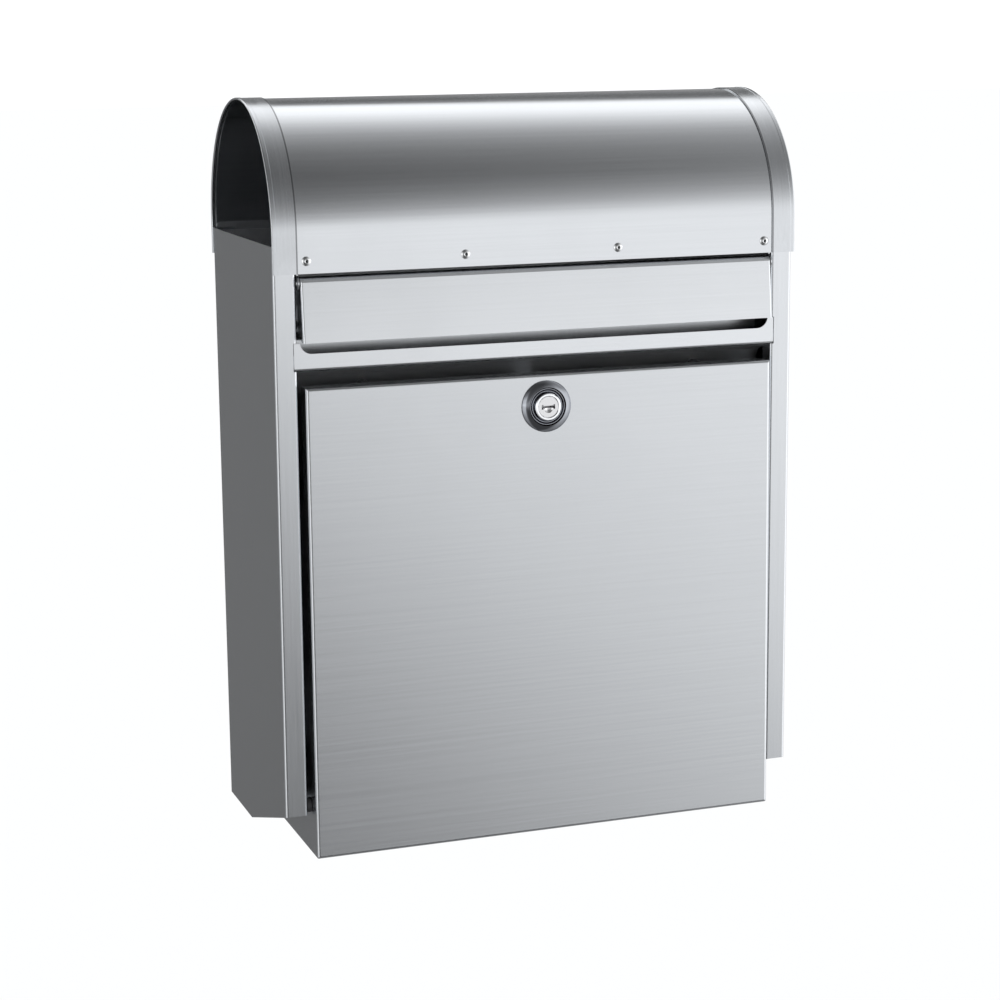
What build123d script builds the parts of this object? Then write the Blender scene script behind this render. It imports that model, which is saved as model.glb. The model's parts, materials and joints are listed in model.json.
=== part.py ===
from build123d import *
import os
from math import atan, cos, radians, sin

# Wall mounted mailbox of folded stainless steel sheet, in millimetres.
#
# The wall is the plane Y = 0 and the box stands out from it towards -Y, with +Z up.
# The origin is the centre of the four wall screws.  Below, "depth" is the distance
# out from the wall and "height" is measured up from the lower edge of the side panels.

# ---------------------------------------------------------------- driving dimensions
body_width = 370.0
side_height = 414.0
screw_centre_height = 200.0
sheet = 1.0  # body, door and flap
roof_sheet_gauge = 0.8
fold = 2.0  # outer radius of a fold
slack = 0.2  # fitting gap between sheets that are spot welded to each other
weld = 0.1  # overlap that joins two solids of one piece
cut_margin = 5.0  # a cutting solid runs this far past what it cuts

# roof: half a barrel, with a straight skirt at the front and at the back
roof_radius = 86.2  # outside of the end bands
roof_axis_height = 420.6
roof_edge_height = 396.0
band_width = 17.0
band_overhang = 0.65
hem_width = 3.0
hem_bulge = 0.2  # the bands' outer edges stand this proud, and touch the wall at the back
hem_thickness = 1.7
roof_sheet_inset = 2.8  # the sheet's ends lie this far inside the body's sides

# side panels
front_top_depth = 169.5
front_foot_depth = 165.65
front_foot_height = 30.5
floor_corner_depth = 67.6
flange_width = 15.4
return_depth = 12.0
flange_top_height = 411.5
back_top_height = 418.0
back_foot_height = 0.5
back_corner = 3.0

# floor and newspaper shelf: trays with turned edges
floor_middle_height = 0.7
floor_rear_lip_height = 14.0
floor_front_lip_height = 12.0
floor_side_lip_height = 13.0
floor_side_lip_setback = 8.0
shelf_rear_lip_height = 399.0
shelf_front_lip_height = 398.0

# wall screws
screw_spacing_x = 250.0
screw_spacing_z = 280.0
screw_hole_radius = 3.5
spacer_radius = 9.0

# cross rail between the letter flap and the door: an upright face, a web that falls
# towards the back, and below it the leaning strike that the lock's cam catches
rail_depth = 168.6
rail_bottom_height = 332.5
recess_height = 343.4
ear_top_height = 350.5
rail_half_width = 171.8
recess_half_width = 167.6
recess_corner = 8.0
rail_tab_inner = 156.0
rail_tab_outer = 182.0
rail_tab_inset = 3.0
rail_seam = 0.4
web_rear_depth = 149.5
web_rear_height = 326.6
strike_depth = 143.0
strike_bottom_height = 314.5
door_bumper_x = 120.0
door_bumper_height = 318.0
door_bumper_radius = 3.5
bumper_gap = 0.1
bumper_round = 0.8

# letter chute: a foot on the rail's web, a weir, and a tail that falls into the box
chute_half_width = 168.5
chute_foot_depth = 160.0
chute_weir_depth = 146.0
chute_top_height = 352.0
chute_tail_depth = 106.0
chute_tail_height = 334.0

# letter flap, hung from a rod inside its rolled top edge; the face stands proud of the curl,
# and a bevel joins the two
flap_half_width = 167.3
flap_lean = 5.6  # degrees that the face leans out at the bottom
flap_axis_depth = 167.8
flap_axis_height = 389.8
flap_face_out = 5.2
flap_face_length = 39.1
curl_radius = 4.2
bevel_turn = 38.0
flap_stop_depth = 160.0
flap_cheek_top_height = 374.0
flap_cheek_foot_height = 356.5
flap_hem_length = 6.0
flap_hem_inset = 1.5
flap_hem_thickness = 0.7
flap_side_fold = 1.5
flap_foot_thickness = 3.0
flap_foot_rise = 0.6
flap_cavity_rear_depth = 150.0
flap_cavity_foot_height = 340.0
curl_end_drop = 1.8
rod_radius = 2.0
rod_clearance = 0.06
rod_seat_clearance = 0.03
rod_chamfer = 0.4

# brackets that carry the rod, with an arm that stops the flap as it falls shut
bracket_clearance = 0.5
bracket_eye_radius = 4.6
bracket_rear_setback = 8.0
bracket_front_reach = 0.6
bracket_tab_length = 9.0
bracket_neck_rise = 5.0
bracket_toe_reach = 3.6
bracket_toe_rise = 2.0
stop_arm_depth = 157.0
stop_arm_rear_depth = 152.5
stop_arm_foot_height = 357.0
stop_tab_inner = 159.5
flap_bumper_x = 164.5
flap_bumper_height = 362.0
flap_bumper_radius = 4.0

# door: a pan with deep side walls and a bottom plate, hinged low down
door_half_width = 166.3
door_depth = 176.0
door_bottom_height = 2.2
door_top_height = 321.7
door_plate_depth = 73.0
door_wall_shoulder_height = 105.0
door_wall_neck_height = 250.0
door_neck_depth = 163.0
door_lip_length = 9.0
door_bottom_fold = 1.2
hinge_depth = 160.0
hinge_height = 36.0
pin_radius = 3.0
pin_head_radius = 4.4
pin_head_thickness = 1.6
pin_head_taper = 25
pin_tail = 2.4
pin_clearance = 0.06
washer_radius = 5.0
washer_gap = 0.3
washer_clearance = 0.05
push_nut_radius = 5.2
push_nut_thickness = 0.8
push_nut_gap = 0.3
stop_tab_bottom_height = 74.0
stop_tab_top_height = 88.5
stop_tab_reach = 173.0

# lock in the middle of the door's upper edge
lock_height = 300.0
rosette_radius = 17.5
rosette_seat_height = 2.2  # the lock's head rests this far out from the door
rosette_groove_height = 0.8
ridge_radii = (10.5, 12.1)
ridge_heights = (2.0, 2.3)
ridge_width = 0.3
dome_radius = 13.1  # from here the rosette falls away to its rim
dome_height = 3.4
dome_bow = 0.42
rim_height = 0.8
lock_head_radius = 9.2
lock_head_height = 2.4
head_bevel = 0.4
head_round = 0.3
plug_recess_height = 0.9
lock_body_radius = 8.0
lock_hole_clearance = 0.1
rosette_bore_clearance = 0.15
plug_face_radius = 7.3
plug_radius = 5.5
plug_clearance = 0.08
plug_end_clearance = 0.1
plug_face_setback = 0.35
plug_bevel = 0.3
lock_body_back_depth = 144.5
lock_nut_radius = 11.0
lock_nut_thickness = 4.0
lock_nut_chamfer = 0.6
cam_back_depth = 139.5
cam_thickness = 2.0
cam_reach = 27.0
cam_width = 11.0
cam_hub_radius = 8.0
cam_bore_radius = 3.5
cam_washer_radius = 5.5
cam_washer_thickness = 0.9
cam_screw_radius = 3.6
cam_screw_height = 2.2
cross_recess_length = 3.4
cross_recess_width = 0.8
key_slot_width = 9.6
key_slot_height = 1.7
key_slot_depth = 9.0
ward_width = 1.2
ward_height = 3.1
thumb_hollow_radius = 3.3
thumb_hollow_depth = 1.4

# rivets that hold the roof to the newspaper shelf
rivet_height = 404.2
rivet_spacing = 108.5
rivet_count = 4
rivet_head_radius = 3.15
rivet_head_height = 1.1
rivet_rim_height = 0.25
rivet_shoulder_height = 0.85
rivet_shank_radius = 1.6
rivet_bulb_radius = 2.5
rivet_bulb_length = 2.2
bulb_shoulder = 1.2
mandrel_hole_radius = 0.85
mandrel_rim_height = 0.9
mandrel_depth = 1.4

# ---------------------------------------------------------------- derived places
half_width = body_width / 2
sheet_outer_radius = roof_radius - roof_sheet_gauge
sheet_inner_radius = sheet_outer_radius - roof_sheet_gauge
roof_axis_depth = roof_radius + hem_bulge
roof_front_inside_depth = roof_axis_depth + sheet_inner_radius
back_panel_depth = roof_axis_depth - sheet_inner_radius
panel_back_depth = back_panel_depth + sheet
return_face = half_width - flange_width
front_slope = (front_top_depth - front_foot_depth) / (side_height - front_foot_height)
floor_slope = front_foot_height / (front_foot_depth - floor_corner_depth)
shelf_height = flange_top_height + slack
fold_middle = fold - sheet / 2
web_slope = (rail_bottom_height - web_rear_height) / (rail_depth - web_rear_depth)
strike_lean = atan((web_rear_depth - strike_depth) / (web_rear_height - strike_bottom_height))
bracket_face = flap_half_width + bracket_clearance


def level(height):
    """Z of a height above the lower edge of the side panels."""
    return height - screw_centre_height


def at(depth, height):
    """Y and Z of a point given by its depth and height."""
    return (-depth, level(height))


def front_depth(height):
    """Outer face of the side panels' front flanges, which slope back a little going down."""
    return front_top_depth - (side_height - height) * front_slope


def block(x_range, depth_range, height_range, mode=Mode.ADD):
    """A plain block between two X values, two depths and two heights."""
    centre = (
        (x_range[0] + x_range[1]) / 2,
        -(depth_range[0] + depth_range[1]) / 2,
        level((height_range[0] + height_range[1]) / 2),
    )
    size = [abs(span[1] - span[0]) for span in (x_range, depth_range, height_range)]
    with Locations(centre):
        Box(*size, mode=mode)


def web_middle(depth):
    """Height of the middle of the cross rail's web, which falls towards the back."""
    return rail_bottom_height + sheet / 2 - (rail_depth - depth) * web_slope


def folded(points, half_span):
    """Sheet folded along the middle line through points, centred on X = 0."""
    with BuildSketch(Plane.YZ.offset(-half_span)) as section:
        with BuildLine():
            FilletPolyline(*[at(*point) for point in points], radius=fold_middle)
        trace(line_width=sheet)
    extrude(section.sketch, amount=2 * half_span)


# ---------------------------------------------------------------- body: back, sides, floor
with BuildPart() as back_panel:
    back_width = 2 * (half_width - panel_back_depth)
    with BuildSketch(Plane.XZ.offset(back_panel_depth)):
        with Locations((0, level((back_top_height + back_foot_height) / 2))):
            RectangleRounded(back_width, back_top_height - back_foot_height, back_corner)
        with GridLocations(screw_spacing_x, screw_spacing_z, 2, 2):
            Circle(screw_hole_radius, mode=Mode.SUBTRACT)
    extrude(amount=sheet)

with BuildPart() as wall_spacers:
    with BuildSketch(Plane.XZ):
        with GridLocations(screw_spacing_x, screw_spacing_z, 2, 2):
            Circle(spacer_radius)
            Circle(screw_hole_radius, mode=Mode.SUBTRACT)
    extrude(amount=back_panel_depth)

with BuildPart() as right_side_panel:
    with BuildSketch(Plane.YZ.offset(return_face)):
        Polygon(
            at(panel_back_depth, 0),
            at(floor_corner_depth, 0),
            at(front_foot_depth, front_foot_height),
            at(front_top_depth, side_height),
            at(panel_back_depth, side_height),
            align=None,
        )
    extrude(amount=flange_width)
    long_edges = right_side_panel.edges().filter_by(lambda edge: edge.length > 0.9 * side_height)
    front_folds = long_edges.sort_by(Axis.Y)[:2]
    rear_fold = long_edges.sort_by(Axis.Y)[2:].sort_by(Axis.X)[-1:]
    fillet(front_folds + rear_fold, radius=fold)
    # hollow between the side wall, the front flange with its return and the rear flange
    with BuildSketch(Plane.YZ.offset(return_face + sheet)):
        Polygon(
            at(panel_back_depth + sheet, -sheet),
            at(front_depth(-sheet) - sheet, -sheet),
            at(front_top_depth - sheet, side_height + sheet),
            at(panel_back_depth + sheet, side_height + sheet),
            align=None,
        )
    extrude(amount=flange_width - 2 * sheet, mode=Mode.SUBTRACT)
    with BuildSketch(Plane.YZ.offset(return_face - sheet)):
        Polygon(
            at(panel_back_depth + sheet, -sheet),
            at(front_depth(-sheet) - return_depth, -sheet),
            at(front_top_depth - return_depth, side_height + sheet),
            at(panel_back_depth + sheet, side_height + sheet),
            align=None,
        )
    extrude(amount=3 * sheet, mode=Mode.SUBTRACT)
    inner_span = (return_face - sheet, half_width - sheet)
    front_span = (front_depth(0) - return_depth - cut_margin, roof_radius * 2)
    block(inner_span, front_span, (flange_top_height, side_height + sheet), mode=Mode.SUBTRACT)
    # notch that takes the ear of the cross rail
    notch_span = (return_face - sheet, rail_half_width + rail_seam)
    notch_heights = (rail_bottom_height - rail_seam, ear_top_height + rail_seam)
    block(notch_span, front_span, notch_heights, mode=Mode.SUBTRACT)
    # hinge pin hole in the return
    with Locations(Plane((return_face, *at(hinge_depth, hinge_height)), z_dir=(1, 0, 0))):
        Cylinder(pin_radius, 6 * sheet, mode=Mode.SUBTRACT)

with BuildPart() as left_side_panel:
    add(mirror(right_side_panel.part, about=Plane.YZ, mode=Mode.PRIVATE))

with BuildPart() as floor_panel:
    tray_half_width = half_width - sheet - slack
    tray_rear = panel_back_depth + sheet + slack + sheet / 2
    floor_front_depth = floor_corner_depth - slack
    folded(
        (
            (tray_rear, floor_rear_lip_height),
            (tray_rear, floor_middle_height),
            (floor_front_depth - sheet / 2, floor_middle_height),
            (floor_front_depth - sheet / 2, floor_front_lip_height),
        ),
        tray_half_width,
    )
    lip_depths = (floor_side_lip_setback, floor_front_depth - floor_side_lip_setback)
    for sign in (-1, 1):
        lip_span = (sign * (tray_half_width - sheet), sign * tray_half_width)
        block(lip_span, lip_depths, (floor_middle_height, floor_side_lip_height))

# ---------------------------------------------------------------- body: shelf, chute, cross rail
with BuildPart() as newspaper_shelf:
    shelf_middle = shelf_height + sheet / 2
    folded(
        (
            (tray_rear, shelf_rear_lip_height),
            (tray_rear, shelf_middle),
            (roof_front_inside_depth - sheet / 2, shelf_middle),
            (roof_front_inside_depth - sheet / 2, shelf_front_lip_height),
        ),
        tray_half_width,
    )
    with BuildSketch(Plane.XZ.offset(roof_front_inside_depth + sheet)):
        with Locations((0, level(rivet_height))):
            with GridLocations(rivet_spacing, 1, rivet_count, 1):
                Circle(rivet_shank_radius)
    extrude(amount=-4 * sheet, mode=Mode.SUBTRACT)

with BuildPart() as cross_rail:
    folded(
        (
            (rail_depth - sheet / 2, ear_top_height),
            (rail_depth - sheet / 2, web_middle(rail_depth - sheet / 2)),
            (web_rear_depth, web_middle(web_rear_depth)),
            (strike_depth, strike_bottom_height),
        ),
        rail_half_width,
    )
    # finger recess in the upper edge
    with BuildSketch(Plane.XZ.offset(rail_depth + sheet)):
        with Locations((0, level((recess_height + ear_top_height) / 2) + recess_corner)):
            Rectangle(2 * recess_half_width, ear_top_height - recess_height + 2 * recess_corner)
        corners = vertices().group_by(Axis.Y)[0]
        fillet(corners, radius=recess_corner)
    extrude(amount=-3 * sheet, mode=Mode.SUBTRACT)
    # behind the face the rail passes between the returns
    behind = (strike_depth - 2 * sheet, rail_depth - sheet)
    heights = (strike_bottom_height - sheet, ear_top_height + sheet)
    for sign in (-1, 1):
        block((sign * (return_face - slack), sign * half_width), behind, heights, mode=Mode.SUBTRACT)
    # tabs behind the face that are welded to the backs of the side flanges
    tab_depths = (rail_depth - 2 * sheet - slack, rail_depth - sheet)
    tab_heights = (rail_bottom_height + rail_tab_inset, recess_height - sheet)
    for sign in (-1, 1):
        block((sign * rail_tab_inner, sign * rail_tab_outer), tab_depths, tab_heights)

with BuildPart() as letter_chute:
    foot_lift = (sheet + slack) / cos(atan(web_slope))
    weir_middle = chute_weir_depth - sheet / 2
    folded(
        (
            (chute_foot_depth, web_middle(chute_foot_depth) + foot_lift),
            (weir_middle, web_middle(weir_middle) + foot_lift),
            (weir_middle, chute_top_height),
            (chute_tail_depth, chute_tail_height),
        ),
        chute_half_width,
    )

with BuildPart() as flap_bumpers:
    with BuildSketch(Plane.XZ.offset(stop_arm_depth)):
        with Locations((0, level(flap_bumper_height))):
            with GridLocations(2 * flap_bumper_x, 1, 2, 1):
                Circle(flap_bumper_radius)
    extrude(amount=flap_stop_depth - bumper_gap - stop_arm_depth)
    fillet(flap_bumpers.edges().group_by(Axis.Y)[0], radius=bumper_round)

with BuildPart() as door_bumpers:
    with BuildSketch(Plane.XZ.offset(strike_depth)):
        with Locations((0, level(door_bumper_height))):
            with GridLocations(2 * door_bumper_x, 1, 2, 1):
                Circle(door_bumper_radius)
    extrude(amount=door_neck_depth - bumper_gap - strike_depth)
    fillet(door_bumpers.edges().group_by(Axis.Y)[0], radius=bumper_round)
    # cut flush with the front of the leaning strike
    forward = Vector(0, -cos(strike_lean), -sin(strike_lean))
    seat_point = Vector(0, *at(strike_depth, strike_bottom_height)) + forward * (sheet / 2)
    split(bisect_by=Plane(seat_point, x_dir=(1, 0, 0), z_dir=forward), keep=Keep.TOP)

# ---------------------------------------------------------------- roof
with BuildPart() as roof_sheet:
    middle_radius = sheet_outer_radius - roof_sheet_gauge / 2
    front = at(roof_axis_depth + middle_radius, roof_axis_height)
    top = at(roof_axis_depth, roof_axis_height + middle_radius)
    back = at(roof_axis_depth - middle_radius, roof_axis_height)
    sheet_half_span = half_width - roof_sheet_inset
    with BuildSketch(Plane.YZ.offset(-sheet_half_span)):
        with BuildLine():
            Line((front[0], level(roof_edge_height)), front)
            ThreePointArc(front, top, back)
            Line(back, (back[0], level(roof_edge_height)))
        trace(line_width=roof_sheet_gauge)
    extrude(amount=2 * sheet_half_span)
    with BuildSketch(Plane.XZ.offset(2 * roof_radius)):
        with Locations((0, level(rivet_height))):
            with GridLocations(rivet_spacing, 1, rivet_count, 1):
                Circle(rivet_shank_radius)
    extrude(amount=-4 * sheet, mode=Mode.SUBTRACT)

with BuildPart() as roof_band_right:
    band_outer = half_width + band_overhang
    band_inner = band_outer - band_width
    front_out = roof_axis_depth + roof_radius
    back_out = roof_axis_depth - roof_radius
    with BuildLine() as band_path:
        front_foot = (band_inner, *at(front_out, roof_edge_height))
        front_spring = (band_inner, *at(front_out, roof_axis_height))
        crown = (band_inner, *at(roof_axis_depth, roof_axis_height + roof_radius))
        back_spring = (band_inner, *at(back_out, roof_axis_height))
        Line(front_foot, front_spring)
        ThreePointArc(front_spring, crown, back_spring)
        Line(back_spring, (band_inner, *at(back_out, roof_edge_height)))
    with BuildSketch(Plane.XY.offset(level(roof_edge_height))) as band_section:
        with BuildLine():
            Polyline(
                (band_outer - hem_width, -front_out - hem_bulge),
                (band_outer - hem_width - hem_bulge, -front_out),
                (band_inner, -front_out),
                (band_inner, roof_sheet_gauge - front_out),
                (band_outer - hem_width, roof_sheet_gauge - front_out),
                (band_outer - hem_width, hem_thickness - hem_bulge - front_out),
                (band_outer - hem_thickness / 2, hem_thickness - hem_bulge - front_out),
            )
            ThreePointArc(
                (band_outer - hem_thickness / 2, hem_thickness - hem_bulge - front_out),
                (band_outer, hem_thickness / 2 - hem_bulge - front_out),
                (band_outer - hem_thickness / 2, -front_out - hem_bulge),
            )
            Line(
                (band_outer - hem_thickness / 2, -front_out - hem_bulge),
                (band_outer - hem_width, -front_out - hem_bulge),
            )
        make_face()
    sweep(sections=band_section.sketch, path=band_path.wire())

with BuildPart() as roof_band_left:
    add(mirror(roof_band_right.part, about=Plane.YZ, mode=Mode.PRIVATE))

with BuildPart() as roof_rivets:
    # blind rivets: domed head with the hole of the mandrel, shank and the bulb behind
    face = roof_axis_depth + sheet_outer_radius
    bulb_front = roof_front_inside_depth - sheet
    for index in range(rivet_count):
        x = (index - (rivet_count - 1) / 2) * rivet_spacing
        axis_plane = Plane((x, -face, level(rivet_height)), x_dir=(1, 0, 0), z_dir=(0, -1, 0))
        with BuildSketch(Plane(axis_plane.origin, x_dir=(1, 0, 0), z_dir=(0, 0, 1))):
            with BuildLine():
                Polyline(
                    (mandrel_hole_radius, -mandrel_rim_height),
                    (mandrel_hole_radius, face - bulb_front + mandrel_depth),
                    (rivet_bulb_radius * 0.7, face - bulb_front + rivet_bulb_length),
                    (rivet_bulb_radius, face - bulb_front + bulb_shoulder),
                    (rivet_bulb_radius, face - bulb_front),
                    (rivet_shank_radius, face - bulb_front),
                    (rivet_shank_radius, 0),
                    (rivet_head_radius, 0),
                    (rivet_head_radius, -rivet_rim_height),
                )
                ThreePointArc(
                    (rivet_head_radius, -rivet_rim_height),
                    (rivet_head_radius * 0.74, -rivet_shoulder_height),
                    (rivet_head_radius * 0.42, -rivet_head_height),
                )
                Line(
                    (rivet_head_radius * 0.42, -rivet_head_height),
                    (mandrel_hole_radius, -mandrel_rim_height),
                )
            make_face()
        revolve(axis=Axis((x, -face, level(rivet_height)), (0, 1, 0)))

# ---------------------------------------------------------------- letter flap and its hinge
lean = radians(flap_lean)
flap_normal = (cos(lean), sin(lean))
flap_down = (sin(lean), -cos(lean))


def flap_point(out, down):
    """Depth and height of a point: out from the hinge axis along the face's normal, and down it."""
    depth = flap_axis_depth + out * flap_normal[0] + down * flap_down[0]
    height = flap_axis_height + out * flap_normal[1] + down * flap_down[1]
    return depth, height


def bevel_edge(inset):
    """Distance up the face at which the bevel starts, for an outline set in by inset."""
    turn = radians(bevel_turn)
    return (curl_radius - inset - (flap_face_out - inset) * cos(turn)) / sin(turn)


def bevel_end(inset):
    """Where the bevel meets the curl, for an outline set in by inset."""
    turn = radians(bevel_turn)
    return flap_point((curl_radius - inset) * cos(turn), -(curl_radius - inset) * sin(turn))


with BuildPart() as flap_panel:
    inside = flap_face_out - sheet
    curl_end_height = flap_axis_height - curl_end_drop
    foot_out = flap_face_out - flap_foot_thickness
    with BuildSketch(Plane.YZ.offset(-flap_half_width)):
        Polygon(
            at(*bevel_end(0)),
            at(*flap_point(flap_face_out, -bevel_edge(0))),
            at(*flap_point(flap_face_out, flap_face_length)),
            at(*flap_point(foot_out, flap_face_length - flap_foot_rise)),
            at(flap_stop_depth, flap_cheek_foot_height),
            at(flap_stop_depth, flap_cheek_top_height),
            at(flap_axis_depth - curl_radius, flap_axis_height),
            align=None,
        )
    extrude(amount=2 * flap_half_width)
    face_span = flap_face_length + bevel_edge(0)
    side_folds = flap_panel.edges().filter_by(lambda edge: abs(edge.length - face_span) < 0.05)
    fillet(side_folds, radius=flap_side_fold)
    with BuildSketch(Plane.YZ.offset(-flap_half_width)):
        with Locations(at(flap_axis_depth, flap_axis_height)):
            Circle(curl_radius)
    extrude(amount=2 * flap_half_width)
    with BuildSketch(Plane.YZ.offset(sheet - flap_half_width)):
        with Locations(at(flap_axis_depth, flap_axis_height)):
            Circle(curl_radius - sheet)
        Polygon(
            at(*bevel_end(sheet)),
            at(*flap_point(inside, -bevel_edge(sheet))),
            at(*flap_point(inside, flap_face_length + cut_margin)),
            at(flap_cavity_rear_depth, flap_cavity_foot_height),
            at(flap_cavity_rear_depth, curl_end_height),
            at(flap_axis_depth, curl_end_height),
            align=None,
        )
    extrude(amount=2 * (flap_half_width - sheet), mode=Mode.SUBTRACT)
    # closed hem along the lower edge
    hem_front = inside + weld
    hem_back = inside - flap_hem_thickness
    hem_top = flap_face_length - flap_hem_length
    with BuildSketch(Plane.YZ.offset(flap_hem_inset - flap_half_width)):
        Polygon(
            at(*flap_point(hem_front, flap_face_length)),
            at(*flap_point(hem_back, flap_face_length)),
            at(*flap_point(hem_back, hem_top)),
            at(*flap_point(hem_front, hem_top)),
            align=None,
        )
    extrude(amount=2 * (flap_half_width - flap_hem_inset))
    with Locations(Plane((0, *at(flap_axis_depth, flap_axis_height)), z_dir=(1, 0, 0))):
        Cylinder(rod_radius + rod_clearance, 2 * half_width, mode=Mode.SUBTRACT)

with BuildPart() as flap_hinge_rod:
    with BuildSketch(Plane.YZ.offset(slack - return_face)):
        with Locations(at(flap_axis_depth, flap_axis_height)):
            Circle(rod_radius)
    extrude(amount=2 * (return_face - slack))
    chamfer(flap_hinge_rod.edges().filter_by(GeomType.CIRCLE), length=rod_chamfer)

with BuildPart() as flap_hinge_brackets:
    bracket_front = flap_axis_depth + bracket_front_reach
    bracket_rear = flap_axis_depth - bracket_rear_setback
    with BuildSketch(Plane.YZ.offset(bracket_face)):
        with Locations(at(flap_axis_depth, flap_axis_height)):
            Circle(bracket_eye_radius)
        Polygon(
            at(bracket_front, flap_axis_height + bracket_neck_rise),
            at(bracket_front, shelf_height),
            at(bracket_rear, shelf_height),
            at(stop_arm_rear_depth, flap_axis_height + bracket_neck_rise),
            at(stop_arm_rear_depth, stop_arm_foot_height),
            at(stop_arm_depth, stop_arm_foot_height),
            at(stop_arm_depth, flap_cheek_top_height),
            at(flap_axis_depth - bracket_eye_radius, flap_axis_height),
            at(flap_axis_depth, flap_axis_height),
            at(flap_axis_depth + bracket_toe_reach, flap_axis_height + bracket_toe_rise),
            align=None,
        )
        with Locations(at(flap_axis_depth, flap_axis_height)):
            Circle(rod_radius + rod_seat_clearance, mode=Mode.SUBTRACT)
    extrude(amount=sheet)
    top_tab_span = (bracket_face - bracket_tab_length, bracket_face + sheet)
    block(top_tab_span, (bracket_rear, bracket_front), (shelf_height - sheet, shelf_height))
    stop_tab_heights = (stop_arm_foot_height, 2 * flap_bumper_height - stop_arm_foot_height)
    block((stop_tab_inner, bracket_face + sheet), (stop_arm_depth - sheet, stop_arm_depth), stop_tab_heights)
    mirror(about=Plane.YZ)

# ---------------------------------------------------------------- door and its hinge
with BuildPart() as door_pan:
    with BuildSketch(Plane.YZ.offset(-door_half_width)):
        Polygon(
            at(door_depth, door_bottom_height),
            at(door_depth, door_top_height),
            at(door_neck_depth, door_top_height),
            at(door_neck_depth, door_wall_neck_height),
            at(door_plate_depth, door_wall_shoulder_height),
            at(door_plate_depth, door_bottom_height),
            align=None,
        )
    extrude(amount=2 * door_half_width)
    front_edges = door_pan.edges().group_by(Axis.Y)[0]
    fillet(front_edges, radius=fold)
    bottom_sides = door_pan.edges().filter_by(Axis.Y).group_by(Axis.Z)[0]
    fillet(bottom_sides, radius=door_bottom_fold)
    # hollow, open to the back
    block(
        (sheet - door_half_width, door_half_width - sheet),
        (door_plate_depth - cut_margin, door_depth - sheet),
        (door_bottom_height + sheet, door_top_height - sheet),
        mode=Mode.SUBTRACT,
    )
    # lip turned down behind the top flange
    lip_bottom = door_top_height - door_lip_length
    block(
        (sheet + slack - door_half_width, door_half_width - sheet - slack),
        (door_neck_depth, door_neck_depth + sheet),
        (lip_bottom, door_top_height - sheet),
    )
    # stop tabs that meet the returns of the side panels when the door is fully open
    for sign in (-1, 1):
        block(
            (sign * (door_half_width - sheet), sign * stop_tab_reach),
            (door_plate_depth, door_plate_depth + sheet),
            (stop_tab_bottom_height, stop_tab_top_height),
        )
    with Locations(Plane((0, *at(hinge_depth, hinge_height)), z_dir=(1, 0, 0))):
        Cylinder(pin_radius + pin_clearance, body_width, mode=Mode.SUBTRACT)
    with Locations(Plane((0, *at(door_depth, lock_height)), z_dir=(0, 1, 0))):
        Cylinder(lock_body_radius + lock_hole_clearance, 10 * sheet, mode=Mode.SUBTRACT)

with BuildPart() as door_hinge_pins:
    pin_plane = Plane((0, *at(hinge_depth, hinge_height)), x_dir=(0, 1, 0), z_dir=(1, 0, 0))
    head_start = return_face + sheet
    pin_end = door_half_width - sheet - pin_tail
    with BuildSketch(pin_plane.offset(pin_end)):
        Circle(pin_radius)
    extrude(amount=head_start - pin_end)
    with BuildSketch(pin_plane.offset(head_start)):
        Circle(pin_head_radius)
    extrude(amount=pin_head_thickness, taper=pin_head_taper)
    mirror(about=Plane.YZ)

with BuildPart() as hinge_washers:
    with BuildSketch(pin_plane.offset(door_half_width + washer_gap)):
        Circle(washer_radius)
        Circle(pin_radius + washer_clearance, mode=Mode.SUBTRACT)
    extrude(amount=return_face - door_half_width - washer_gap - washer_clearance)
    mirror(about=Plane.YZ)

with BuildPart() as hinge_push_nuts:
    with BuildSketch(pin_plane.offset(door_half_width - sheet - push_nut_gap)):
        Circle(push_nut_radius)
        Circle(pin_radius, mode=Mode.SUBTRACT)
    extrude(amount=-push_nut_thickness)
    mirror(about=Plane.YZ)

# ---------------------------------------------------------------- lock
# Profiles are drawn with x as the radius and y as the distance out from the door's face,
# then turned about the lock's axis.
lock_plane = Plane((0, *at(door_depth, lock_height)), x_dir=(1, 0, 0), z_dir=(0, 0, 1))
lock_axis = Axis((0, *at(door_depth, lock_height)), (0, 1, 0))
seat = rosette_seat_height

with BuildPart() as lock_rosette:
    seat_radius = lock_head_radius - head_round
    bore_radius = lock_body_radius + rosette_bore_clearance
    with BuildSketch(lock_plane):
        with BuildLine():
            profile = [
                (rosette_radius, -rim_height),
                (rosette_radius, 0),
                (bore_radius, 0),
                (bore_radius, -seat),
                (seat_radius, -seat),
            ]
            # two thin ridges with grooves beside them
            trough_radius = seat_radius
            for ridge_radius, ridge_height in zip(ridge_radii, ridge_heights):
                trough_radius = (trough_radius + ridge_radius) / 2
                profile.append((trough_radius, -rosette_groove_height))
                profile.append((ridge_radius - ridge_width / 2, -ridge_height))
                profile.append((ridge_radius + ridge_width / 2, -ridge_height))
                trough_radius = ridge_radius
            profile.append(((trough_radius + dome_radius) / 2, -rosette_groove_height))
            profile.append((dome_radius, -dome_height))
            Polyline(*profile)
            SagittaArc((rosette_radius, -rim_height), (dome_radius, -dome_height), dome_bow)
        make_face()
    revolve(axis=lock_axis)

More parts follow.
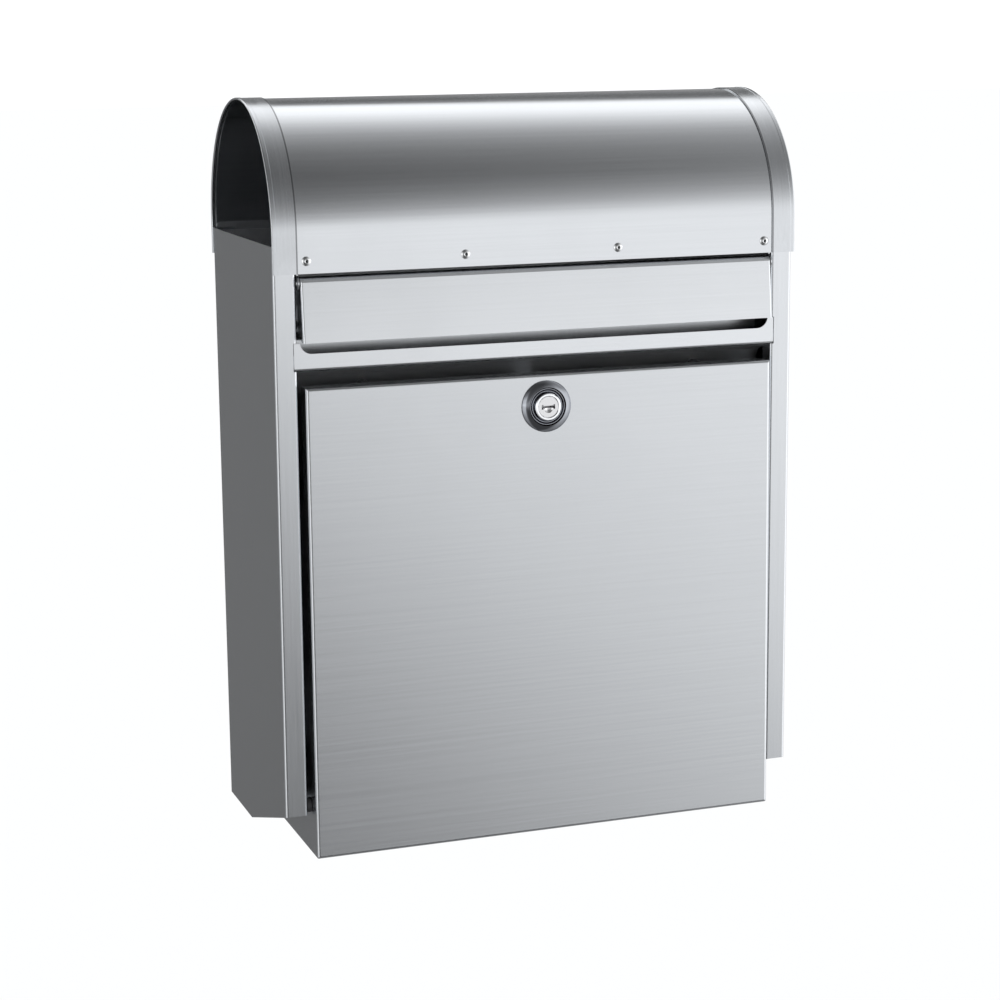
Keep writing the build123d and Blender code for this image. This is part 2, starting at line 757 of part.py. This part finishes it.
with BuildPart() as lock_housing:
    head_out = seat + lock_head_height
    recess_out = seat + plug_recess_height
    body_in = door_depth - lock_body_back_depth
    with BuildSketch(lock_plane):
        with BuildLine():
            Polyline(
                (plug_radius + plug_clearance, body_in),
                (lock_body_radius, body_in),
                (lock_body_radius, -seat),
                (lock_head_radius, -seat),
                (lock_head_radius, -head_out + head_bevel),
                (lock_head_radius - head_bevel, -head_out),
                (plug_face_radius + plug_clearance + plug_bevel, -head_out),
                (plug_face_radius + plug_clearance, -head_out + plug_bevel),
                (plug_face_radius + plug_clearance, -recess_out),
                (plug_radius + plug_clearance, -recess_out),
                close=True,
            )
        make_face()
    revolve(axis=lock_axis)
    fillet(lock_housing.edges().group_by(Axis.Y)[0].sort_by(SortBy.RADIUS)[-1:], radius=head_round)

with BuildPart() as lock_nut:
    with BuildSketch(Plane.XZ.offset(door_depth - sheet)):
        with Locations((0, level(lock_height))):
            RegularPolygon(lock_nut_radius, 6)
            Circle(lock_body_radius, mode=Mode.SUBTRACT)
    extrude(amount=-lock_nut_thickness)
    chamfer(lock_nut.edges().group_by(Axis.Y)[-1].filter_by(GeomType.LINE), length=lock_nut_chamfer)

face_out = head_out - plug_face_setback
slot_foot = level(lock_height) - key_slot_height / 2

with BuildPart() as thumb_hollow:
    # what a spherical cutter takes away below the key slot
    cutter_radius = (thumb_hollow_radius**2 + thumb_hollow_depth**2) / (2 * thumb_hollow_depth)
    with Locations((0, thumb_hollow_depth - cutter_radius - door_depth - face_out, slot_foot)):
        Sphere(cutter_radius)
    split(bisect_by=Plane.XY.offset(slot_foot), keep=Keep.BOTTOM)

with BuildPart() as lock_plug:
    stub_in = door_depth - cam_back_depth
    cam_seat = stub_in - cam_thickness
    with BuildSketch(lock_plane):
        with BuildLine():
            Polyline(
                (0, -face_out),
                (plug_face_radius - plug_bevel, -face_out),
                (plug_face_radius, -face_out + plug_bevel),
                (plug_face_radius, -recess_out - plug_end_clearance),
                (plug_radius, -recess_out - plug_end_clearance),
                (plug_radius, cam_seat),
                (cam_bore_radius, cam_seat),
                (cam_bore_radius, stub_in),
                (0, stub_in),
                close=True,
            )
        make_face()
    revolve(axis=lock_axis)
    # key slot with a ward at each end, and the thumb-nail hollow of the dust cover below it
    with BuildSketch(Plane.XZ.offset(door_depth + face_out)):
        with Locations((0, level(lock_height))):
            Rectangle(key_slot_width, key_slot_height)
            with GridLocations(key_slot_width - ward_width, 1, 2, 1):
                Rectangle(ward_width, ward_height)
    extrude(amount=-key_slot_depth, mode=Mode.SUBTRACT)
    add(thumb_hollow.part, mode=Mode.SUBTRACT)

with BuildPart() as lock_cam:
    with BuildSketch(Plane.XZ.offset(cam_back_depth + cam_thickness)):
        with Locations((0, level(lock_height))):
            Circle(cam_hub_radius)
            with Locations(((cam_width / 2 - cam_reach) / 2, 0)):
                SlotOverall(cam_reach + cam_width / 2, cam_width)
            Circle(cam_bore_radius, mode=Mode.SUBTRACT)
    extrude(amount=-cam_thickness)

with BuildPart() as cam_screw:
    # washer, round head and cross recess
    screw_seat_depth = cam_back_depth - cam_washer_thickness
    screw_back_depth = screw_seat_depth - cam_screw_height
    with BuildSketch(Plane.XZ.offset(cam_back_depth)):
        with Locations((0, level(lock_height))):
            Circle(cam_washer_radius)
    extrude(amount=-cam_washer_thickness)
    with BuildSketch(Plane.XZ.offset(screw_seat_depth)):
        with Locations((0, level(lock_height))):
            Circle(cam_screw_radius)
    extrude(amount=-cam_screw_height)
    fillet(cam_screw.edges().group_by(Axis.Y)[-1], radius=cam_screw_radius / 3)
    with BuildSketch(Plane.XZ.offset(screw_back_depth)):
        with Locations((0, level(lock_height))):
            Rectangle(cross_recess_length, cross_recess_width)
            Rectangle(cross_recess_width, cross_recess_length)
    extrude(amount=cam_screw_radius / 3, mode=Mode.SUBTRACT)

# ---------------------------------------------------------------- write every piece
pieces = {
    "back_panel": back_panel,
    "wall_spacers": wall_spacers,
    "left_side_panel": left_side_panel,
    "right_side_panel": right_side_panel,
    "floor_panel": floor_panel,
    "newspaper_shelf": newspaper_shelf,
    "cross_rail": cross_rail,
    "letter_chute": letter_chute,
    "flap_bumpers": flap_bumpers,
    "door_bumpers": door_bumpers,
    "roof_sheet": roof_sheet,
    "roof_band_left": roof_band_left,
    "roof_band_right": roof_band_right,
    "roof_rivets": roof_rivets,
    "flap_panel": flap_panel,
    "flap_hinge_rod": flap_hinge_rod,
    "flap_hinge_brackets": flap_hinge_brackets,
    "door_pan": door_pan,
    "door_hinge_pins": door_hinge_pins,
    "hinge_washers": hinge_washers,
    "hinge_push_nuts": hinge_push_nuts,
    "lock_rosette": lock_rosette,
    "lock_housing": lock_housing,
    "lock_nut": lock_nut,
    "lock_plug": lock_plug,
    "lock_cam": lock_cam,
    "cam_screw": cam_screw,
}

os.makedirs("parts", exist_ok=True)
for label, piece in pieces.items():
    piece.part.label = label
    export_step(piece.part, f"parts/{label}.step")
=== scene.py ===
import json
import math

import bpy
from mathutils import Matrix, Vector


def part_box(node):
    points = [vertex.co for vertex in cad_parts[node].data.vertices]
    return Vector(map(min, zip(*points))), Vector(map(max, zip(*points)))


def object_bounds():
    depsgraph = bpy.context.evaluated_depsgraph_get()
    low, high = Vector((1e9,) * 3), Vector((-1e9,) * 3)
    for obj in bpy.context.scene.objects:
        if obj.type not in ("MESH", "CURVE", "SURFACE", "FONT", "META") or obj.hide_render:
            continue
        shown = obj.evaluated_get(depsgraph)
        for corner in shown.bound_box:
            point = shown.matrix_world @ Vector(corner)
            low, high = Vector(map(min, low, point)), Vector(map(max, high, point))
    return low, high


# Wall mounted mailbox of brushed stainless steel.  Metres, in the frame of the CAD model:
# the wall is the plane Y = 0, the box stands out towards -Y, and +Z is up.

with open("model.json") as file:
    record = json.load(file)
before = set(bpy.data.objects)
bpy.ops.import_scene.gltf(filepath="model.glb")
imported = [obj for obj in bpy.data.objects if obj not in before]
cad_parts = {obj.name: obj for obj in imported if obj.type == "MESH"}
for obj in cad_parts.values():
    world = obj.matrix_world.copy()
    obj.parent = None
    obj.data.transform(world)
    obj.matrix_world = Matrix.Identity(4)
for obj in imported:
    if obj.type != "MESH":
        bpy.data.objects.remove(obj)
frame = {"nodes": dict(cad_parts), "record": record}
cad_low, cad_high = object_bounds()
nodes = frame["nodes"]

# ---------------------------------------------------------------- camera and floor values
CAMERA_PLACE = Vector((-0.5631, -1.6736, 0.3550))
CAMERA_YAW = math.radians(19.48)  # to the right of +Y
CAMERA_DIP = math.radians(10.09)
CAMERA_ROLL = math.radians(-0.65)
CAMERA_LENS = 86.7
CAMERA_SHIFT_UP = -0.05

FLOOR_DROP = 1.5  # the box hangs on a wall, this far above the floor
FLOOR_REACH = 60.0
FLOOR_COLOUR = (0.9, 0.9, 0.9)

# ---------------------------------------------------------------- studio values
# Angles are in degrees and levels are shares of full white.  Each lamp has a profile of
# stops, a place and the level there.
SURROUNDINGS = 1.12  # what the camera and matt surfaces see
SURROUNDINGS_COLOUR = (0.985, 0.992, 1.0)
STUDIO_AIR = 0.11  # what metal mirrors between the lamps

# front lamp: its places are in units of its own half height, above its centre
FRONT_LAMP_CENTRE = -1.6
FRONT_LAMP_LEAST_HEIGHT = 8.0
FRONT_LAMP_MOST_HEIGHT = 30.0
FRONT_LAMP_HEIGHT = -2.0  # half height straight ahead, before the least height is applied
FRONT_LAMP_SPREAD = 56.0  # added to the half height at the far right
FRONT_LAMP_PROFILE = (
    (-3.0, 0.0), (-2.0, 0.01), (-1.4, 0.16), (-1.0, 0.50), (-0.8, 0.81), (-0.6, 1.03),
    (-0.4, 1.13), (-0.2, 1.17), (0.3, 1.12), (0.6, 0.78), (1.0, 0.48), (1.5, 0.28),
    (2.2, 0.14), (3.0, 0.08), (4.0, 0.04), (6.0, 0.0),
)
FRONT_LAMP_LEFT_FADE = (-0.25, 0.27, 0.45, 1.0)  # from X, to X, level at the first, at the second
FRONT_LAMP_RIGHT_FADE = (0.60, 0.85, 1.0, 0.35)

# top lamp: its places run from the front horizon up and over the box
TOP_LAMP_SKEW = 40.0  # how much further it lies at the far right than straight ahead
TOP_LAMP_PROFILE = (
    (60.0, 0.01), (83.0, 0.14), (98.0, 0.33), (108.0, 0.54), (118.0, 0.88), (128.0, 1.26),
    (139.0, 1.55), (149.3, 1.55), (152.0, 0.30), (154.5, 0.02), (158.0, 0.0), (170.0, 0.0),
)
TOP_LAMP_END_FADE = (0.75, 0.97, 1.0, 0.15)

# side lamps: places round the box from straight ahead, and above the horizon
RING_PROFILE = (
    (-180.0, 0.075), (-150.0, 0.075), (-130.0, 0.20), (-100.0, 0.40), (-78.0, 0.50),
    (-70.0, 1.30), (-45.0, 1.30), (-38.0, 0.30), (-25.0, 0.03), (0.0, 0.01), (33.0, 0.02),
    (46.0, 1.0), (60.0, 1.4), (110.0, 1.3), (122.0, 0.45), (140.0, 0.36), (165.0, 0.20),
    (180.0, 0.06),
)
RING_RISE_PROFILE = (
    (-60.0, 0.2), (-35.0, 0.5), (-15.0, 1.0), (12.0, 1.0), (26.0, 0.30), (42.0, 0.04),
    (70.0, 0.0),
)

# ---------------------------------------------------------------- material values
STEEL = (0.60, 0.615, 0.635)
BRIGHT_STEEL = (0.65, 0.665, 0.685)
SATIN_STEEL = (0.56, 0.575, 0.595)
TURNED_STEEL = (0.56, 0.57, 0.58)
ALUMINIUM = (0.78, 0.79, 0.80)
CHROME = (0.86, 0.87, 0.89)
# painted shade: chrome made dark to stand in for the dark surroundings that the lock rosette
# mirrors
CHROME_WITH_PAINTED_SHADE = (0.31, 0.322, 0.348)
SATIN_CHROME = (0.82, 0.82, 0.83)
ZINC = (0.52, 0.53, 0.54)
BUFFER_BLACK = (0.03, 0.03, 0.032)
SPACER_BLACK = (0.04, 0.04, 0.042)
NYLON_BLACK = (0.02, 0.02, 0.022)

# brushing
GRAIN_ALONG = 22.0  # noise cells per metre along a brush line
GRAIN_ACROSS = 4200.0
STREAK_SCALE = 0.16  # broad streaks, as a share of the fine lines' frequency
BLOTCH_SCALE = 14.0
BROAD_STREAK_NOISE_ROUGHNESS = 0.55
GREY_SPAN = (0.3, 0.7)  # most of a noise's values lie between these
CLOUD_SPAN = (0.35, 0.7)
DUST_SPAN = (0.4, 0.7)
SOFT_NOISE = {"detail": 2.0, "roughness": 0.5}  # for dust and clouds without fine grain
BROAD_GLOSS = (-0.5, 0.5)  # how far streaks, lines and blotches take the roughness, as shares
FINE_GLOSS = (-0.4, 0.4)
BLOTCH_GLOSS = (-0.5, 0.5)
GRAIN_ROUGHNESS_SPREAD = 0.02
GRAIN_DEPTH = 0.00006
ARCH_GRAIN_RADIUS = 0.086
RING_GRAIN_RADIUS = 0.006
SIDE_FACE_NORMAL = 0.7  # a face whose normal has more X than this is a side
DULL_ROUGHNESS = 0.20  # added where the metal isn't polished
DULL_FADE = 0.001
DULL_SETBACK = 0.0015
# painted shade: a thin dark line on the roof band where it meets the roof sheet, standing in for
# the shade at that step
SEAM_HALF_WIDTH = 0.0007
SEAM_SETBACK = 0.00056
SEAM_PAINTED_SHADE = 0.45

# chrome and other smooth metal
WEAR_SCALE = 700.0
DUST_SCALE = 90.0
DUST_SHADE = 0.93
WEAR_STRENGTH = 0.05
WEAR_DEPTH = 0.00005

# rubber and nylon
MOULD_GRAIN_SCALE = 2600.0
MOULD_CLOUD_SCALE = 160.0
MOULD_CLOUD_GAIN = 1.25  # clouds are this much lighter, and a little more
MOULD_CLOUD_LIFT = 0.01
MOULD_GLOSS_SPREAD = 0.06
MOULD_GRAIN_STRENGTH = 0.3
MOULD_GRAIN_DEPTH = 0.00008

# ---------------------------------------------------------------- places on the box
band_low, band_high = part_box("roof_band_right")
roof_axis_y = (band_low.y + band_high.y) / 2
roof_axis_z = band_high.z - (band_high.y - band_low.y) / 2
rail_low, rail_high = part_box("cross_rail")
lock_low, lock_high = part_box("lock_rosette")
lock_centre = (lock_low + lock_high) / 2


# ---------------------------------------------------------------- node helpers
def put(tree, socket, value):
    """Links value to socket if it is a socket, or else sets it there."""
    if isinstance(value, bpy.types.NodeSocket):
        tree.links.new(value, socket)
    else:
        socket.default_value = value


def add_node(tree, kind, settings=None, **inputs):
    """A new shader node with some of its settings and inputs."""
    node = tree.nodes.new(kind)
    for key, value in (settings or {}).items():
        setattr(node, key, value)
    for key, value in inputs.items():
        put(tree, node.inputs[key.replace("_", " ")], value)
    return node


def calc(tree, operation, *values):
    """The result of a Math node."""
    node = add_node(tree, "ShaderNodeMath", {"operation": operation})
    for socket, value in zip(node.inputs, values):
        put(tree, socket, value)
    return node.outputs[0]


def remap(tree, value, start, end, low=0.0, high=1.0, kind="SMOOTHSTEP"):
    """value taken from start..end to low..high, clamped."""
    node = add_node(
        tree,
        "ShaderNodeMapRange",
        {"interpolation_type": kind},
        Value=value,
        From_Min=start,
        From_Max=end,
        To_Min=low,
        To_Max=high,
    )
    return node.outputs["Result"]


def profile(tree, value, stops):
    """Grey levels straight between stops, each a place and the level there."""
    start = stops[0][0]
    end = stops[-1][0]
    share = remap(tree, value, start, end, kind="LINEAR")
    node = add_node(tree, "ShaderNodeValToRGB", Fac=share)
    elements = node.color_ramp.elements
    elements[0].position = 0.0
    elements[1].position = 1.0
    for place, level in stops:
        position = (place - start) / (end - start)
        at_end = {0.0: elements[0], 1.0: elements[len(elements) - 1]}
        element = at_end.get(position) or elements.new(position)
        element.color = (level, level, level, 1.0)
    return node.outputs["Color"]


def noise(tree, vector, scale, detail=3.0, roughness=0.6):
    """The grey value of a Noise texture."""
    node = add_node(
        tree, "ShaderNodeTexNoise", Vector=vector, Scale=scale, Detail=detail, Roughness=roughness
    )
    return node.outputs["Fac"]


def object_place(tree):
    """The place on the object, in metres."""
    return add_node(tree, "ShaderNodeTexCoord").outputs["Object"]


def axes(tree, vector):
    """The X, Y and Z of a vector."""
    node = add_node(tree, "ShaderNodeSeparateXYZ", Vector=vector)
    return node.outputs["X"], node.outputs["Y"], node.outputs["Z"]


def stretched(tree, vector, scale):
    """vector scaled by a different factor along each axis."""
    return add_node(tree, "ShaderNodeMapping", Vector=vector, Scale=scale).outputs["Vector"]


def mix_vectors(tree, factor, first, second):
    """first where factor is 0 and second where it is 1."""
    node = add_node(tree, "ShaderNodeMix", {"data_type": "VECTOR"})
    put(tree, node.inputs[0], factor)
    put(tree, node.inputs[4], first)
    put(tree, node.inputs[5], second)
    return node.outputs[1]


def mix_colours(tree, factor, first, second):
    """A colour between first and second, each three numbers."""
    node = add_node(tree, "ShaderNodeMix", {"data_type": "RGBA"})
    put(tree, node.inputs[0], factor)
    put(tree, node.inputs[6], (*first, 1.0))
    put(tree, node.inputs[7], (*second, 1.0))
    return node.outputs[2]


def new_material(name):
    """An empty node material with a Principled shader."""
    material = bpy.data.materials.new(name)
    material.use_nodes = True
    return material, material.node_tree, material.node_tree.nodes["Principled BSDF"]


def roughen(tree, shader, height, strength, distance):
    """Bump on the shader from a height between 0 and 1."""
    bump = add_node(tree, "ShaderNodeBump", Strength=strength, Distance=distance, Height=height)
    tree.links.new(bump.outputs["Normal"], shader.inputs["Normal"])


# ---------------------------------------------------------------- materials
def turned_grain(tree, flat, upward, depth, centre, radius):
    """Texture place in which brush lines run round an axis along depth."""
    across = calc(tree, "SUBTRACT", flat, centre[0])
    rise = calc(tree, "SUBTRACT", upward, centre[1])
    angle = calc(tree, "ARCTAN2", rise, across)
    across_squared = calc(tree, "POWER", across, 2.0)
    rise_squared = calc(tree, "POWER", rise, 2.0)
    distance = calc(tree, "SQRT", calc(tree, "ADD", across_squared, rise_squared))
    length = calc(tree, "MULTIPLY", angle, radius)
    joined = add_node(tree, "ShaderNodeCombineXYZ", X=length, Y=distance, Z=depth)
    return stretched(tree, joined.outputs["Vector"], (GRAIN_ALONG, GRAIN_ACROSS, GRAIN_ACROSS))


def grain_vector(tree, grain):
    """Texture place in which brush lines are stretched along the grain."""
    place = add_node(tree, "ShaderNodeTexCoord")
    position = place.outputs["Object"]
    if grain == "upright":
        return stretched(tree, position, (GRAIN_ACROSS, GRAIN_ACROSS, GRAIN_ALONG))
    if grain == "level":
        # across the front of a panel, and front to back on the faces that are folded from it
        normal_x = axes(tree, place.outputs["Normal"])[0]
        sideways = calc(tree, "GREATER_THAN", calc(tree, "ABSOLUTE", normal_x), SIDE_FACE_NORMAL)
        front = stretched(tree, position, (GRAIN_ALONG, GRAIN_ACROSS, GRAIN_ACROSS))
        side = stretched(tree, position, (GRAIN_ACROSS, GRAIN_ALONG, GRAIN_ACROSS))
        return mix_vectors(tree, sideways, front, side)
    x, y, z = axes(tree, position)
    if grain == "arch":
        return turned_grain(tree, y, z, x, (roof_axis_y, roof_axis_z), ARCH_GRAIN_RADIUS)
    return turned_grain(tree, x, z, y, (lock_centre.x, lock_centre.z), RING_GRAIN_RADIUS)


def painted_seam_shade(tree, place, surface, seam):
    """surface darkened in a thin line where |X| is seam: painted shade for the step where the band
    meets the roof sheet.
    """
    across = calc(tree, "ABSOLUTE", axes(tree, place)[0])
    away = calc(tree, "ABSOLUTE", calc(tree, "SUBTRACT", across, seam))
    shade = remap(tree, away, SEAM_HALF_WIDTH / 2, SEAM_HALF_WIDTH, SEAM_PAINTED_SHADE, 1.0)
    grey = add_node(tree, "ShaderNodeCombineXYZ", X=shade, Y=shade, Z=shade).outputs["Vector"]
    node = add_node(tree, "ShaderNodeMix", {"data_type": "RGBA", "blend_type": "MULTIPLY"})
    put(tree, node.inputs[0], 1.0)
    put(tree, node.inputs[6], surface)
    put(tree, node.inputs[7], grey)
    return node.outputs[2]


def brushed(
    name,
    colour,
    grain,
    roughness,
    anisotropy=0.3,
    streaks=0.03,
    blotch=0.02,
    bump=0.045,
    dull=None,
    seam=None,
):
    """Brushed metal: fine lines and broad streaks along the grain, and faint blotches.
    dull is the Y behind which the metal is left unpolished, seam the |X| of a painted shade line."""
    material, tree, shader = new_material(name)
    vector = grain_vector(tree, grain)
    place = object_place(tree)
    fine = noise(tree, vector, 1.0)
    broad = noise(tree, vector, STREAK_SCALE, roughness=BROAD_STREAK_NOISE_ROUGHNESS)
    cloud = noise(tree, place, BLOTCH_SCALE)

    half_fine = calc(tree, "MULTIPLY", fine, 0.5)
    half_broad = calc(tree, "MULTIPLY", broad, 0.5)
    shade = calc(tree, "ADD", half_fine, half_broad)
    dark = tuple(share * (1 - streaks) for share in colour)
    light = tuple(min(1.0, share * (1 + streaks)) for share in colour)
    surface = mix_colours(tree, remap(tree, shade, *GREY_SPAN), dark, light)
    # painted shade along the seam between the band and the roof sheet
    if seam:
        surface = painted_seam_shade(tree, place, surface, seam)
    tree.links.new(surface, shader.inputs["Base Color"])

    broad_spread = remap(tree, broad, *GREY_SPAN, *BROAD_GLOSS)
    fine_spread = remap(tree, fine, *GREY_SPAN, *FINE_GLOSS)
    spread = calc(tree, "ADD", broad_spread, fine_spread)
    rough = calc(tree, "MULTIPLY_ADD", spread, GRAIN_ROUGHNESS_SPREAD, roughness)
    cloud_spread = remap(tree, cloud, *CLOUD_SPAN, *BLOTCH_GLOSS)
    rough = calc(tree, "MULTIPLY_ADD", cloud_spread, blotch, rough)
    if dull:
        depth = axes(tree, place)[1]
        unpolished = remap(tree, depth, dull, dull + DULL_FADE, 0.0, DULL_ROUGHNESS)
        rough = calc(tree, "ADD", rough, unpolished)
    tree.links.new(rough, shader.inputs["Roughness"])

    roughen(tree, shader, shade, bump, GRAIN_DEPTH)
    shader.inputs["Metallic"].default_value = 1.0
    if anisotropy:
        axis = {"level": "X", "upright": "Z", "arch": "Z"}[grain]
        tangent = add_node(tree, "ShaderNodeTangent", {"direction_type": "RADIAL", "axis": axis})
        tree.links.new(tangent.outputs["Tangent"], shader.inputs["Tangent"])
        shader.inputs["Anisotropic"].default_value = anisotropy
    return material


def polished(name, colour, roughness, speckle=0.03):
    """Chrome or another smooth metal, with faint wear in its gloss."""
    material, tree, shader = new_material(name)
    place = object_place(tree)
    wear = noise(tree, place, WEAR_SCALE)
    dust = noise(tree, place, DUST_SCALE, **SOFT_NOISE)
    dusty = tuple(share * DUST_SHADE for share in colour)
    surface = mix_colours(tree, remap(tree, dust, *DUST_SPAN), colour, dusty)
    tree.links.new(surface, shader.inputs["Base Color"])
    rough = calc(tree, "MULTIPLY_ADD", remap(tree, wear, *CLOUD_SPAN), speckle, roughness)
    tree.links.new(rough, shader.inputs["Roughness"])
    roughen(tree, shader, wear, WEAR_STRENGTH, WEAR_DEPTH)
    shader.inputs["Metallic"].default_value = 1.0
    return material


def moulded(name, colour, roughness):
    """Rubber or nylon with a fine grained surface."""
    material, tree, shader = new_material(name)
    place = object_place(tree)
    grain = noise(tree, place, MOULD_GRAIN_SCALE)
    cloud = noise(tree, place, MOULD_CLOUD_SCALE, **SOFT_NOISE)
    lighter = tuple(min(1.0, share * MOULD_CLOUD_GAIN + MOULD_CLOUD_LIFT) for share in colour)
    surface = mix_colours(tree, remap(tree, cloud, *CLOUD_SPAN), colour, lighter)
    tree.links.new(surface, shader.inputs["Base Color"])
    smooth = roughness - MOULD_GLOSS_SPREAD
    matt = roughness + MOULD_GLOSS_SPREAD
    tree.links.new(remap(tree, grain, *GREY_SPAN, smooth, matt), shader.inputs["Roughness"])
    roughen(tree, shader, grain, MOULD_GRAIN_STRENGTH, MOULD_GRAIN_DEPTH)
    return material


def make_materials():
    """One material for each slot of the record."""
    rail_back = rail_low.y + DULL_SETBACK
    # the |X| where the painted seam shade lies on the band
    band_seam = band_low.x + SEAM_SETBACK
    return {
        "panel_steel": brushed("panel_steel", STEEL, "upright", 0.30),
        "side_steel": brushed("side_steel", STEEL, "upright", 0.20),
        "rail_steel": brushed("rail_steel", BRIGHT_STEEL, "level", 0.22, dull=rail_back),
        "roof_steel": brushed("roof_steel", STEEL, "level", 0.17, anisotropy=0.2),
        "band_steel": brushed(
            "band_steel", SATIN_STEEL, "arch", 0.22, blotch=0.07, streaks=0.05, seam=band_seam
        ),
        "flap_steel": brushed("flap_steel", BRIGHT_STEEL, "level", 0.22),
        "door_steel": brushed("door_steel", STEEL, "level", 0.23, blotch=0.012),
        "pin_steel": polished("pin_steel", TURNED_STEEL, 0.22),
        "rivet_aluminium": polished("rivet_aluminium", ALUMINIUM, 0.20),
        "lock_chrome": polished("lock_chrome", CHROME, 0.08),
        # the rosette's dark chrome colour is painted shade, standing in for its dark reflections
        "rosette_chrome": polished("rosette_chrome", CHROME_WITH_PAINTED_SHADE, 0.06),
        "plug_chrome": brushed("plug_chrome", SATIN_CHROME, "ring", 0.34, anisotropy=0.0),
        "lock_zinc": polished("lock_zinc", ZINC, 0.38, speckle=0.12),
        "buffer_rubber": moulded("buffer_rubber", BUFFER_BLACK, 0.62),
        "spacer_rubber": moulded("spacer_rubber", SPACER_BLACK, 0.66),
        "washer_nylon": moulded("washer_nylon", NYLON_BLACK, 0.50),
    }


def dress_nodes():
    """Gives each CAD node the material of its slot in the record."""
    materials = make_materials()
    for part in frame["record"]["subparts"]:
        mesh = nodes[part["node"]].data
        mesh.materials.clear()
        mesh.materials.append(materials[part["material_slot"]])


# ---------------------------------------------------------------- camera, floor and light
def make_camera():
    """The camera, in front of the box, to its left and a little above it."""
    data = bpy.data.cameras.new("camera")
    data.lens = CAMERA_LENS
    data.shift_y = CAMERA_SHIFT_UP
    camera = bpy.data.objects.new("camera", data)
    bpy.context.scene.collection.objects.link(camera)
    turn = Matrix.Rotation(-CAMERA_YAW, 4, "Z")
    tilt = Matrix.Rotation(math.pi / 2 - CAMERA_DIP, 4, "X")
    roll = Matrix.Rotation(CAMERA_ROLL, 4, "Z")
    camera.matrix_world = Matrix.Translation(CAMERA_PLACE) @ turn @ tilt @ roll
    bpy.context.scene.camera = camera


def make_floor():
    """A pale floor that fades into the white surroundings."""
    height = cad_low.z - FLOOR_DROP
    signs = ((-1, -1), (1, -1), (1, 1), (-1, 1))
    corners = [(x * FLOOR_REACH, y * FLOOR_REACH, height) for x, y in signs]
    mesh = bpy.data.meshes.new("floor")
    mesh.from_pydata(corners, [], [(0, 1, 2, 3)])
    floor = bpy.data.objects.new("floor", mesh)
    bpy.context.scene.collection.objects.link(floor)
    material, _, shader = new_material("floor")
    shader.inputs["Base Color"].default_value = (*FLOOR_COLOUR, 1.0)
    shader.inputs["Roughness"].default_value = 1.0
    shader.inputs["Specular IOR Level"].default_value = 0.0
    mesh.materials.append(material)
    floor.visible_glossy = False


def front_lamp(tree, x, over):
    """A wide soft lamp low in front of the box, taller towards the right and dimmer at its ends."""
    half_height = calc(tree, "MULTIPLY_ADD", x, FRONT_LAMP_SPREAD, FRONT_LAMP_HEIGHT)
    half_height = calc(tree, "MINIMUM", half_height, FRONT_LAMP_MOST_HEIGHT)
    half_height = calc(tree, "MAXIMUM", half_height, FRONT_LAMP_LEAST_HEIGHT)
    above_centre = calc(tree, "SUBTRACT", over, FRONT_LAMP_CENTRE)
    level = profile(tree, calc(tree, "DIVIDE", above_centre, half_height), FRONT_LAMP_PROFILE)
    level = calc(tree, "MULTIPLY", level, remap(tree, x, *FRONT_LAMP_LEFT_FADE))
    return calc(tree, "MULTIPLY", level, remap(tree, x, *FRONT_LAMP_RIGHT_FADE))


def top_lamp(tree, x, over):
    """A long lamp above and behind the box, a little askew."""
    level = profile(tree, calc(tree, "MULTIPLY_ADD", x, TOP_LAMP_SKEW, over), TOP_LAMP_PROFILE)
    return calc(tree, "MULTIPLY", level, remap(tree, calc(tree, "ABSOLUTE", x), *TOP_LAMP_END_FADE))


def side_lamps(tree, round_box, rise):
    """Lamps that stand in a ring round the box."""
    ring = profile(tree, round_box, RING_PROFILE)
    return calc(tree, "MULTIPLY", ring, profile(tree, rise, RING_RISE_PROFILE))


def make_world():
    """White surroundings that light the scene, and the lamps that its metal mirrors."""
    world = bpy.data.worlds.new("studio")
    world.use_nodes = True
    bpy.context.scene.world = world
    tree = world.node_tree
    direction = add_node(tree, "ShaderNodeTexCoord").outputs["Generated"]
    x, y, z = axes(tree, direction)
    forward = calc(tree, "MULTIPLY", y, -1.0)
    over = calc(tree, "DEGREES", calc(tree, "ARCTAN2", z, forward))
    round_box = calc(tree, "DEGREES", calc(tree, "ARCTAN2", x, forward))
    rise = calc(tree, "DEGREES", calc(tree, "ARCSINE", z))
    lamps = calc(tree, "ADD", front_lamp(tree, x, over), top_lamp(tree, x, over))
    lamps = calc(tree, "ADD", lamps, side_lamps(tree, round_box, rise))
    mirrored = calc(tree, "ADD", lamps, STUDIO_AIR)

    is_mirrored = add_node(tree, "ShaderNodeLightPath").outputs["Is Glossy Ray"]
    strength = add_node(tree, "ShaderNodeMix", {"data_type": "FLOAT"})
    put(tree, strength.inputs[0], is_mirrored)
    put(tree, strength.inputs[2], SURROUNDINGS)
    put(tree, strength.inputs[3], mirrored)
    background = tree.nodes["Background"]
    background.inputs["Color"].default_value = (*SURROUNDINGS_COLOUR, 1.0)
    tree.links.new(strength.outputs[0], background.inputs["Strength"])
    # the lamps are told apart by the ray that meets them, which light sampling can't do
    world.cycles.sampling_method = "NONE"
    bpy.context.scene.view_settings.view_transform = "Standard"


dress_nodes()
make_camera()
make_floor()
make_world()
